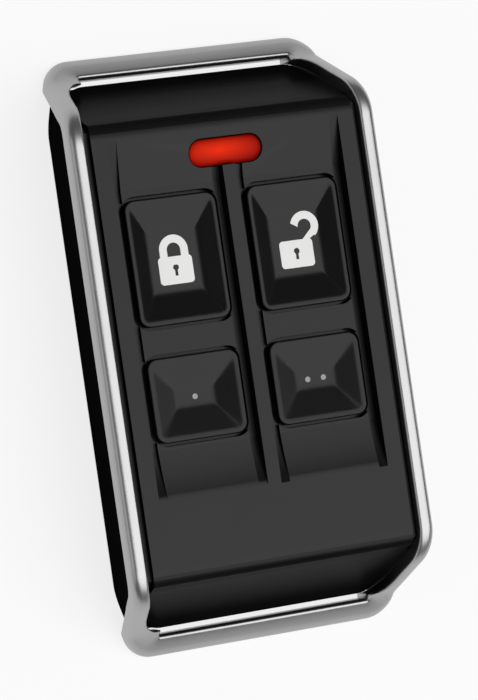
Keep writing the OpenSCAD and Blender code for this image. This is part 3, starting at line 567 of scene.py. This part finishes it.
@dataclass
class TrimFrame:
    """Satin frame of two rails, four legs and two end bars in one piece."""

    half: float = 17.2
    width: float = 1.7
    depth: float = 2.4
    proud: float = 0.4
    leg_proud: float = 1.2
    leg_drop: float = -0.6
    bend: float = 5.0
    end: float = FORM.taper_end
    corner: float = 3.0
    bar_height: float = 3.2
    bar_edge: float = 0.8
    root: float = 2.0
    fit: float = 29.5676
    fit_corner: float = 2.4
    slot_half: float = 12.0
    slot_edge: float = 30.0676
    rail_rounds: Span = (0.35, 0.85)
    bar_rounds: Span = (0.7, 0.8)
    lower_round: float = 0.25
    round_share: float = 0.98
    round_steps: int = 7
    least_height: float = 1.0
    sharp_angle: float = 50.0
    probe: float = 0.05
    rail_rows: tuple[float, ...] = (0.0, 5.0, 10.0, 15.0, 19.0)
    leg_start: float = 20.4
    leg_rows: int = 44
    slot_steps: int = 3
    slot_turn: Span = (0.15, 0.4)
    bar_start: float = 0.15
    bar_rows: int = 8

    @property
    def corner_steps(self) -> int:
        """Chords of a corner: as many as the ledge and the end of the slot have, and two for the turn."""
        return 2 * self.slot_steps + len(self.slot_turn)

    def top(self, y: float) -> float:
        """Return the height of the top of the frame.

        Args:
            y: Place along the length.

        Returns:
            Height over the back.
        """
        root_y = FORM.corner(self.bar_height - FORM.face, self.leg_proud)
        fall = math.atan2(self.bar_height - self.bar_edge, self.end - root_y)
        ease = self.root * math.tan((FORM.slope - fall) / 2)
        past = abs(y) - root_y
        if past >= ease * math.cos(fall):
            return self.bar_height - past * math.tan(fall)
        if past <= -ease * math.cos(FORM.slope):
            return FORM.level(y, self.proud, self.leg_proud, self.bend)
        middle_y = ease * math.cos(fall) + self.root * math.sin(fall)
        middle_z = self.bar_height - ease * math.sin(fall) + self.root * math.cos(fall)
        return middle_z - math.sqrt(self.root ** 2 - (past - middle_y) ** 2)

    def bottom(self, y: float) -> float:
        """Return the height of the underside of the frame at a place along the length."""
        drop = self.proud - self.depth
        return max(FORM.level(y, drop, self.leg_drop, self.bend - self.depth), 0.0)

    def lean(self, y: float) -> float:
        """Return the cosine of the frame's fall at a place along the length."""
        fall = (self.top(y - self.probe) - self.top(y + self.probe)) / (2 * self.probe)
        return 1 / math.sqrt(1 + fall * fall)

    def quarter_path(self) -> list[Pair]:
        """Return matching outer and inner points of one quarter of the frame.

        Returns:
            Pairs of points from the middle of a rail to the middle of a bar.
        """
        inner_half = self.half - self.width
        inner_start = self._corner_start(self.fit, self.fit_corner)
        outer_start = self._corner_start(self.end, self.corner)
        path: list[Pair] = []
        for y in [*self.rail_rows, *spread(self.leg_start, inner_start, self.leg_rows)]:
            drawn = FORM.narrowing(y)
            path.append(((self.half - drawn, y), (inner_half - drawn, y)))
        inner_arc = self._corner(inner_half, self.fit, self.fit_corner)
        outer_arc = self._corner(self.half, self.end, self.corner)
        for i in range(1, self.corner_steps + 1):
            y = mix(inner_start, outer_start, i / self.corner_steps)
            path.append(((self.half - FORM.narrowing(y), y), inner_arc[i]))
        return path + self._bar_path(inner_arc[-1], outer_arc)

    def _bar_path(self, start: Point, outer_arc: Sequence[Point]) -> list[Pair]:
        """Return the points beside the outer corner and on to the middle of the bar.

        Args:
            start: Last point of the inner corner.
            outer_arc: Points of the outer corner.

        Returns:
            Pairs of outer and inner points, the inner ones along the ledge, the end of the slot and its edge.
        """
        shares = [i / self.slot_steps for i in range(1, self.slot_steps + 1)]
        near, far = (self.slot_half - turn for turn in self.slot_turn)
        inner = [(mix(start[0], self.slot_half, share), self.fit) for share in shares]
        inner += [(self.slot_half, mix(self.fit, self.slot_edge, share)) for share in shares]
        inner += [(near, self.slot_edge), (far, self.slot_edge)]
        path = list(zip(outer_arc[1:], inner))
        for share in spread(self.bar_start, 1.0, self.bar_rows):
            outer_x, inner_x = mix(outer_arc[-1][0], 0.0, share), mix(far, 0.0, share)
            path.append(((outer_x, self.end), (inner_x, self.slot_edge)))
        return path

    @staticmethod
    def _corner_start(end: float, radius: float) -> float:
        """Return where along the length the rounding of a corner starts."""
        draw = math.atan(FORM.taper_rate)
        return end - radius * math.tan((math.pi / 2 - draw) / 2) * math.cos(draw)

    def _corner(self, half: float, end: float, radius: float) -> list[Point]:
        """Return the arc where a narrowing side meets an end.

        Args:
            half: Half width before the side draws in.
            end: Place of the end along the length.
            radius: Radius of the arc.

        Returns:
            Points of the arc from the side to the end.
        """
        end_half = half - FORM.taper_rate * (end - FORM.taper_start)
        start = (half + FORM.taper_rate * FORM.taper_start, 0.0)
        arc = rounded([start, (end_half, end), (0.0, end)], [0.0, radius, 0.0], self.corner_steps)
        count = self.corner_steps + 1
        return arc[count:2 * count]

    def section(self, width: float, height: float, rail: float) -> list[Point]:
        """Return the rounded section of the frame.

        Args:
            width: Width of the section.
            height: Height of the section.
            rail: One on the rails, zero on the end bars, between them on the legs.

        Returns:
            Shares of width and height, from the inner foot round the top.
        """
        inner, outer = (mix(a, b, rail) for a, b in zip(self.bar_rounds, self.rail_rounds))
        room = min(width / (inner + outer), 1.0) * self.round_share
        radii = [self.lower_round / 2, inner * room, outer * room, self.lower_round]
        corners = [(0.0, 0.0), (0.0, height), (width, height), (width, 0.0)]
        return [(x / width, z / height) for x, z in rounded(corners, radii, self.round_steps)]

    def ring(self, outer: Point, inner: Point) -> list[Place]:
        """Return the section of the frame between two points of its plan.

        Args:
            outer: Point on the outer side.
            inner: Point on the inner side.

        Returns:
            Points round the section.
        """
        middle = (outer[1] + inner[1]) / 2
        top = self.top(middle)
        height = max((top - self.bottom(middle)) * self.lean(middle), self.least_height)
        rail = max(top - self.bar_height, 0.0) / (FORM.face + self.proud - self.bar_height)
        ring: list[Place] = []
        for across, rise in self.section(math.dist(outer, inner), height, rail):
            x, y = mix(inner[0], outer[0], across), mix(inner[1], outer[1], across)
            ring.append((x, y, mix(self.bottom(y), self.top(y), rise)))
        return ring

    def build(self) -> bpy.types.Object:
        """Make the frame.

        Returns:
            The frame as one closed ring.
        """
        surface = Surface("trim_ring")
        quarter_path = self.quarter_path()
        mirrored = [((-o[0], o[1]), (-i[0], i[1])) for o, i in reversed(quarter_path[:-1])]
        upper = quarter_path + mirrored
        lower = [((o[0], -o[1]), (i[0], -i[1])) for o, i in reversed(upper[1:-1])]
        rows = [surface.row(self.ring(outer, inner)) for outer, inner in upper + lower]
        surface.bands(rows + [rows[0]])
        frame = surface.build(self.sharp_angle)
        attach(frame, "case")
        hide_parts("trim_frame")
        return frame

    def dress(self, piece: bpy.types.Object) -> None:
        """Give the frame its satin finish."""
        Coat.TRIM.dress(piece)


@dataclass
class KeyCap:
    """One key cap: dished top with four facets, level rim, skirt and flange."""

    node: str
    body: str
    place: Point
    length: float
    dish: float
    flat: Span
    width: float = 10.3
    corner: float = 1.2
    rim: float = 11.5
    edge: float = 0.5
    edge_round: float = 0.22
    foot_ease: float = 0.45
    brim_ease: float = 0.22
    flange_top: float = 10.0
    flange_base: float = 9.3
    grip: float = 0.85
    loops: int = 48
    loop_shares: Span = (0.985, 0.03)
    corner_steps: int = 8
    side_steps: int = 18
    edge_steps: int = 6
    facet_power: float = 10.0
    sharp_angle: float = 48.0

    def _climb(self, value: float, flat: float, brim: float) -> float:
        """Return the share of the dish depth that is climbed at a distance from the middle.

        Args:
            value: Distance from the middle.
            flat: Distance where the slope starts.
            brim: Distance where the slope reaches the rim.

        Returns:
            Share from zero on the flat to one on the rim.
        """
        run, past = brim - flat, value - flat
        if past <= -self.foot_ease:
            return 0.0
        if past < self.foot_ease:
            return (past + self.foot_ease) ** 2 / (4 * self.foot_ease * run)
        if past < run - self.brim_ease:
            return past / run
        if past < run + self.brim_ease:
            return 1 - (run + self.brim_ease - past) ** 2 / (4 * self.brim_ease * run)
        return 1.0

    def height(self, x: float, y: float) -> float:
        """Return the height of the dish.

        Args:
            x: Distance across from the middle of the key.
            y: Distance along from the middle of the key.

        Returns:
            Height over the back.
        """
        across = self._climb(abs(x), self.flat[0] / 2, self.width / 2 - self.edge)
        along = self._climb(abs(y), self.flat[1] / 2, self.length / 2 - self.edge)
        share = (across ** self.facet_power + along ** self.facet_power) ** (1 / self.facet_power)
        return self.rim - self.dish * (1 - min(share, 1.0))

    def _outline(self, width: float, length: float, corner: float) -> list[Point]:
        """Return a rounded outline with as many points as every other one of the key."""
        return plate(width, length, corner, self.corner_steps, self.side_steps)

    def _edge_rows(self, surface: Surface) -> list[list[int]]:
        """Add the loops of the rounded outer edge.

        Args:
            surface: Surface of the key.

        Returns:
            The numbers of the points of each loop, from the skirt to the rim.
        """
        rows = []
        for angle in quarter(self.edge_steps):
            inset = self.edge_round * (1 - math.cos(angle))
            outline = self._outline(self.width - 2 * inset, self.length - 2 * inset, self.corner - inset)
            height = self.rim - self.edge_round * (1 - math.sin(angle))
            rows.append(surface.loop(outline, height, self.place))
        return rows

    def _dish_rows(self, surface: Surface) -> list[list[int]]:
        """Add the loops of the dish.

        Args:
            surface: Surface of the key.

        Returns:
            The numbers of the points of each loop, from the rim to the middle.
        """
        width, length = self.width - 2 * self.edge_round, self.length - 2 * self.edge_round
        corner = self.corner - self.edge_round
        rows = []
        for share in spread(*self.loop_shares, self.loops):
            outline = self._outline(width * share, length * share, corner * share)
            rows.append(surface.row([(self.place[0] + x, self.place[1] + y, self.height(x, y))
                                     for x, y in outline]))
        return rows

    def build(self) -> bpy.types.Object:
        """Make the key.

        Returns:
            The key, which rides on its own body.
        """
        surface = Surface(self.node + "_cap")
        flange = self._outline(self.width + 2 * self.grip, self.length + 2 * self.grip, self.corner)
        skirt = self._outline(self.width, self.length, self.corner)
        rows = [
            surface.loop(flange, self.flange_base, self.place),
            surface.loop(flange, self.flange_top, self.place),
            surface.loop(skirt, self.flange_top, self.place),
            *self._edge_rows(surface),
            *self._dish_rows(surface),
        ]
        surface.enclose(rows)
        key = surface.build(self.sharp_angle)
        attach(key, self.body)
        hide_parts(self.node)
        return key

    def dress(self, piece: bpy.types.Object) -> None:
        """Give the key its black plastic."""
        Coat.KEY.dress(piece)


KEY_OFFSET = 6.875


def key_row(left: str, right: str, y: float, length: float, dish: float, flat: Span) -> list[KeyCap]:
    """Return two like keys beside each other, whose names start with the given words."""
    return [KeyCap(start + "_key", start + "_button", (x, y), length, dish, flat)
            for start, x in ((left, -KEY_OFFSET), (right, KEY_OFFSET))]


KEYS = (
    *key_row("lock", "unlock", y=9.35, length=13.5, dish=1.1, flat=(5.6, 6.6)),
    *key_row("one_dot", "two_dot", y=-5.2, length=9.0, dish=1.0, flat=(4.0, 1.6)),
)


@dataclass
class SignalLens:
    """Red window of the signal light, a soft pillow on the slope that leads into the channels."""

    width: float = 8.2
    length: float = 2.9
    place: Point = (0.0, 20.1)
    slope_start: float = 22.5
    slope_depth: float = 1.0
    slope_run: float = 5.4
    base: float = 10.4
    proud: float = 0.24
    sink: float = 0.3
    rim: float = 1.3
    end_flat: float = 0.06
    least_corner: float = 0.04
    corner_steps: int = 12
    side_steps: int = 10
    rim_steps: int = 20
    sharp_angle: float = 50.0

    def height(self, y: float, over: float) -> float:
        """Return the height at a distance over the slope."""
        return FORM.face - self.slope_depth / self.slope_run * (self.slope_start - y) + over

    def _outline(self, inset: float) -> list[Point]:
        """Return the outline with its round ends.

        Args:
            inset: How far the outline is drawn in.

        Returns:
            The outline about the middle.
        """
        width, length = self.width - 2 * inset, self.length - 2 * inset
        corner = max(self.length / 2 - self.end_flat - inset, self.least_corner)
        return plate(width, length, corner, self.corner_steps, self.side_steps)

    def _ring(self, surface: Surface, inset: float, over: float) -> list[int]:
        """Add an outline that is drawn in and follows the slope, and return the numbers of its points."""
        return surface.row([(self.place[0] + x, self.place[1] + y, self.height(self.place[1] + y, over))
                            for x, y in self._outline(inset)])

    def build(self) -> bpy.types.Object:
        """Make the lens.

        Returns:
            The lens.
        """
        surface = Surface("signal_window")
        rows = [surface.loop(self._outline(0.0), self.base, self.place)]
        for angle in quarter(self.rim_steps):
            inset = self.rim * (1 - math.cos(angle))
            rows.append(self._ring(surface, inset, mix(-self.sink, self.proud, math.sin(angle))))
        surface.enclose(rows)
        lens = surface.build(self.sharp_angle)
        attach(lens, "case")
        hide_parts("led_lens")
        return lens

    def dress(self, piece: bpy.types.Object) -> None:
        """Give the lens its clear red plastic."""
        Coat.LENS.dress(piece)


@dataclass
class SoftenedSolid:
    """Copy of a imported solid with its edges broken, in millimetres and degrees."""

    node: str
    name: str
    finish: Coat
    edge: float = 0.15
    angle: float = 35.0
    crease: float = 35.0
    merge_distance: float = 0.001
    flat_angle: float = 0.5
    segments: int = 2
    flat_weight: int = 90

    def _mesh(self, solid: bpy.types.Object) -> bpy.types.Mesh:
        """Copy the mesh of a solid, with the facets of its flats joined.

        Args:
            solid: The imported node.

        Returns:
            The new mesh, with its creases marked.
        """
        mesh = solid.data.copy()
        mesh.name = self.name
        work = bmesh.new()
        work.from_mesh(mesh)
        bmesh.ops.remove_doubles(work, verts=work.verts, dist=self.merge_distance * MM)
        bmesh.ops.dissolve_limit(work, angle_limit=math.radians(self.flat_angle), verts=work.verts,
                                 edges=work.edges)
        work.to_mesh(mesh)
        work.free()
        mesh.polygons.foreach_set("use_smooth", [True] * len(mesh.polygons))
        mesh.set_sharp_from_angle(angle=math.radians(self.crease))
        return mesh

    def build(self, solid: bpy.types.Object) -> bpy.types.Object:
        """Make the copy.

        Args:
            solid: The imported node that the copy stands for.

        Returns:
            The copy.
        """
        piece = bpy.data.objects.new(self.name, self._mesh(solid))
        bpy.context.scene.collection.objects.link(piece)
        bevel = piece.modifiers.new("broken_edges", "BEVEL")
        bevel.limit_method = "ANGLE"
        bevel.angle_limit = math.radians(self.angle)
        bevel.width = self.edge * MM
        bevel.segments = self.segments
        flats = piece.modifiers.new("even_flats", "WEIGHTED_NORMAL")
        flats.keep_sharp = True
        flats.weight = self.flat_weight
        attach(piece, "case")
        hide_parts(self.node)
        return piece

    def dress(self, piece: bpy.types.Object) -> None:
        """Give the copy its finish."""
        self.finish.dress(piece)


SOFTENED = (
    SoftenedSolid("front_cover", "front_shell", Coat.CASE, 0.18, crease=9.0),
    SoftenedSolid("rear_cover", "rear_shell", Coat.CASE, crease=9.0),
    SoftenedSolid("case_screw", "closing_screw", Coat.STEEL, 0.08),
)


@dataclass
class Inside:
    """Solids that are carried over as they are: the signs and everything within the case."""

    finishes: dict[Coat, tuple[str, ...]] = field(default_factory=lambda: {
        Coat.MARK: ("lock_symbol", "unlock_symbol"),
        Coat.DOT: ("one_dot_mark", "two_dot_marks"),
        Coat.CARBON: ("lock_pill", "unlock_pill", "one_dot_pill", "two_dot_pill"),
        Coat.RUBBER: ("keypad_mat", "lock_dome", "unlock_dome", "one_dot_dome", "two_dot_dome"),
        Coat.BOARD: ("circuit_board",),
        Coat.GOLD: ("contact_pads", "antenna_track"),
        Coat.EMITTER: ("indicator_led",),
        Coat.CHIP: ("controller_chip", "radio_chip"),
        Coat.CAN: ("crystal_can", "cell_can"),
        Coat.CERAMIC: ("small_chips",),
        Coat.FILLING: ("cell_cap",),
        Coat.SEAL: ("cell_seal",),
        Coat.SPRING: ("positive_clip", "negative_contact"),
    })

    def dress(self, nodes: dict[str, bpy.types.Object]) -> None:
        """Give each carried-over solid its finish.

        Args:
            nodes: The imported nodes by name.
        """
        for coat, names in self.finishes.items():
            for name in names:
                coat.value.dress(nodes[name])
                LOG.info("dressed %s as %s", name, coat.value.name)


@dataclass(frozen=True)
class Lamp:
    """Soft lamp that faces the fob, in metres and watts."""

    name: str
    place: Place
    size: Span
    power: float

    def build(self) -> None:
        """Hang the lamp."""
        light = bpy.data.lights.new(self.name, "AREA")
        light.shape = "RECTANGLE"
        light.size, light.size_y = self.size
        light.energy = self.power
        lamp = bpy.data.objects.new(self.name, light)
        lamp.location = self.place
        lamp.rotation_euler = Vector(self.place).to_track_quat("Z", "Y").to_euler()
        bpy.context.scene.collection.objects.link(lamp)


@dataclass
class Studio:
    """Pale floor, soft lamps and the camera at the photograph's angle.

    Lengths are in metres, and the height of the camera's sensor is in millimetres.
    """

    floor_half: float = 3.0
    floor_drop: float = 0.00001
    floor_tone: float = 0.90
    white_share: float = 0.80
    room_light: float = 0.15
    lamps: tuple[Lamp, ...] = (
        Lamp("front_lamp", (0.332, -0.244, 0.911), (1.3, 1.3), 11.7),
        Lamp("side_lamp", (-0.89, 0.0, 0.45), (1.0, 0.46), 1.3),
    )
    yaw: float = math.radians(19.39)
    roll: float = math.radians(8.25)
    distance: float = 0.331
    pixels_per_metre: float = 9454.0
    target: Place = (0.0, 0.0, 0.0123)
    target_pixel: Point = (254.1, 337.9)
    image: tuple[int, int] = (478, 700)
    sensor: float = 24.0
    nearest: float = 0.01

    def floor(self) -> None:
        """Lay the floor just under the back of the fob."""
        half, height = self.floor_half, -self.floor_drop
        corners = [(-half, -half, height), (half, -half, height), (half, half, height), (-half, half, height)]
        mesh = bpy.data.meshes.new("floor")
        mesh.from_pydata(corners, [], [(0, 1, 2, 3)])
        mesh.materials.append(self._floor_material())
        floor = bpy.data.objects.new("floor", mesh)
        bpy.context.scene.collection.objects.link(floor)

    def _floor_material(self) -> bpy.types.Material:
        """Make the material of the floor, which is clear from below and leaves the back in view.

        Returns:
            The new material.
        """
        material = bpy.data.materials.new("pale_floor")
        material.use_nodes = True
        tree = material.node_tree
        tree.nodes.clear()
        out = tree.nodes.new("ShaderNodeOutputMaterial")
        side = tree.nodes.new("ShaderNodeNewGeometry")
        clear = tree.nodes.new("ShaderNodeBsdfTransparent")
        both = tree.nodes.new("ShaderNodeMixShader")
        tree.links.new(side.outputs["Backfacing"], both.inputs["Fac"])
        tree.links.new(self._pale(tree), both.inputs[1])
        tree.links.new(clear.outputs["BSDF"], both.inputs[2])
        tree.links.new(both.outputs["Shader"], out.inputs["Surface"])
        return material

    def _pale(self, tree: bpy.types.NodeTree) -> bpy.types.NodeSocket:
        """Add the upper side of the floor, which shows white and keeps a soft shadow.

        Args:
            tree: Nodes of the material.

        Returns:
            The socket of the upper side.
        """
        paint = tree.nodes.new("ShaderNodeBsdfDiffuse")
        paint.inputs["Color"].default_value = (self.floor_tone,) * 3 + (1.0,)
        white = tree.nodes.new("ShaderNodeEmission")
        blend = tree.nodes.new("ShaderNodeMixShader")
        share = tree.nodes.new("ShaderNodeMath")
        share.operation = "MULTIPLY"
        share.inputs[1].default_value = self.white_share
        tree.links.new(self._seen(tree), share.inputs[0])
        tree.links.new(share.outputs["Value"], blend.inputs["Fac"])
        tree.links.new(paint.outputs["BSDF"], blend.inputs[1])
        tree.links.new(white.outputs["Emission"], blend.inputs[2])
        return blend.outputs["Shader"]

    @staticmethod
    def _seen(tree: bpy.types.NodeTree) -> bpy.types.NodeSocket:
        """Tell the rays that show the background, seen, mirrored or let through, from the others.

        Args:
            tree: Nodes of the material.

        Returns:
            A socket that is one for those rays and zero for the others.
        """
        path = tree.nodes.new("ShaderNodeLightPath")
        first = tree.nodes.new("ShaderNodeMath")
        second = tree.nodes.new("ShaderNodeMath")
        first.operation = second.operation = "MAXIMUM"
        tree.links.new(path.outputs["Is Camera Ray"], first.inputs[0])
        tree.links.new(path.outputs["Is Glossy Ray"], first.inputs[1])
        tree.links.new(first.outputs["Value"], second.inputs[0])
        tree.links.new(path.outputs["Is Transmission Ray"], second.inputs[1])
        return second.outputs["Value"]

    def light(self) -> None:
        """Light the room and hang the lamps."""
        world = bpy.data.worlds.new("room")
        world.use_nodes = True
        back = world.node_tree.nodes["Background"]
        back.inputs["Color"].default_value = (1.0, 1.0, 1.0, 1.0)
        back.inputs["Strength"].default_value = self.room_light
        bpy.context.scene.world = world
        for lamp in self.lamps:
            lamp.build()

    def camera(self) -> None:
        """Set up the camera at the photograph's angle."""
        ahead = Vector((math.sin(self.yaw), 0.0, -math.cos(self.yaw)))
        level = Vector((math.cos(self.yaw), 0.0, math.sin(self.yaw)))
        along = Vector((0.0, 1.0, 0.0))
        right = math.cos(self.roll) * level - math.sin(self.roll) * along
        up = math.sin(self.roll) * level + math.cos(self.roll) * along
        off_x = (self.target_pixel[0] - self.image[0] / 2) / self.pixels_per_metre
        off_y = (self.image[1] / 2 - self.target_pixel[1]) / self.pixels_per_metre
        place = Vector(self.target) - right * off_x - up * off_y - ahead * self.distance
        data = bpy.data.cameras.new("photo_camera")
        data.sensor_fit = "VERTICAL"
        data.sensor_height = self.sensor
        data.lens = self.pixels_per_metre * self.distance * self.sensor / self.image[1]
        data.clip_start = self.nearest
        camera = bpy.data.objects.new("photo_camera", data)
        turn = Matrix((right, up, -ahead)).transposed().to_4x4()
        camera.matrix_world = Matrix.Translation(place) @ turn
        bpy.context.scene.collection.objects.link(camera)
        bpy.context.scene.camera = camera

    def build(self) -> None:
        """Set up the whole studio."""
        bpy.context.scene.view_settings.view_transform = "Standard"
        self.floor()
        self.light()
        self.camera()


def main() -> None:
    """Build the fob piece by piece, dress it and set up the studio."""
    logging.basicConfig(level=logging.INFO, format="%(name)s: %(message)s")
    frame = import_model()
    for maker in (TrimFrame(), *KEYS, SignalLens()):
        piece = maker.build()
        maker.dress(piece)
        LOG.info("built %s with %d faces", piece.name, len(piece.data.polygons))
    for copy in SOFTENED:
        piece = copy.build(frame["nodes"][copy.node])
        copy.dress(piece)
        LOG.info("built %s from the solid %s", piece.name, copy.node)
    Inside().dress(frame["nodes"])
    Studio().build()


if __name__ == "__main__":
    main()
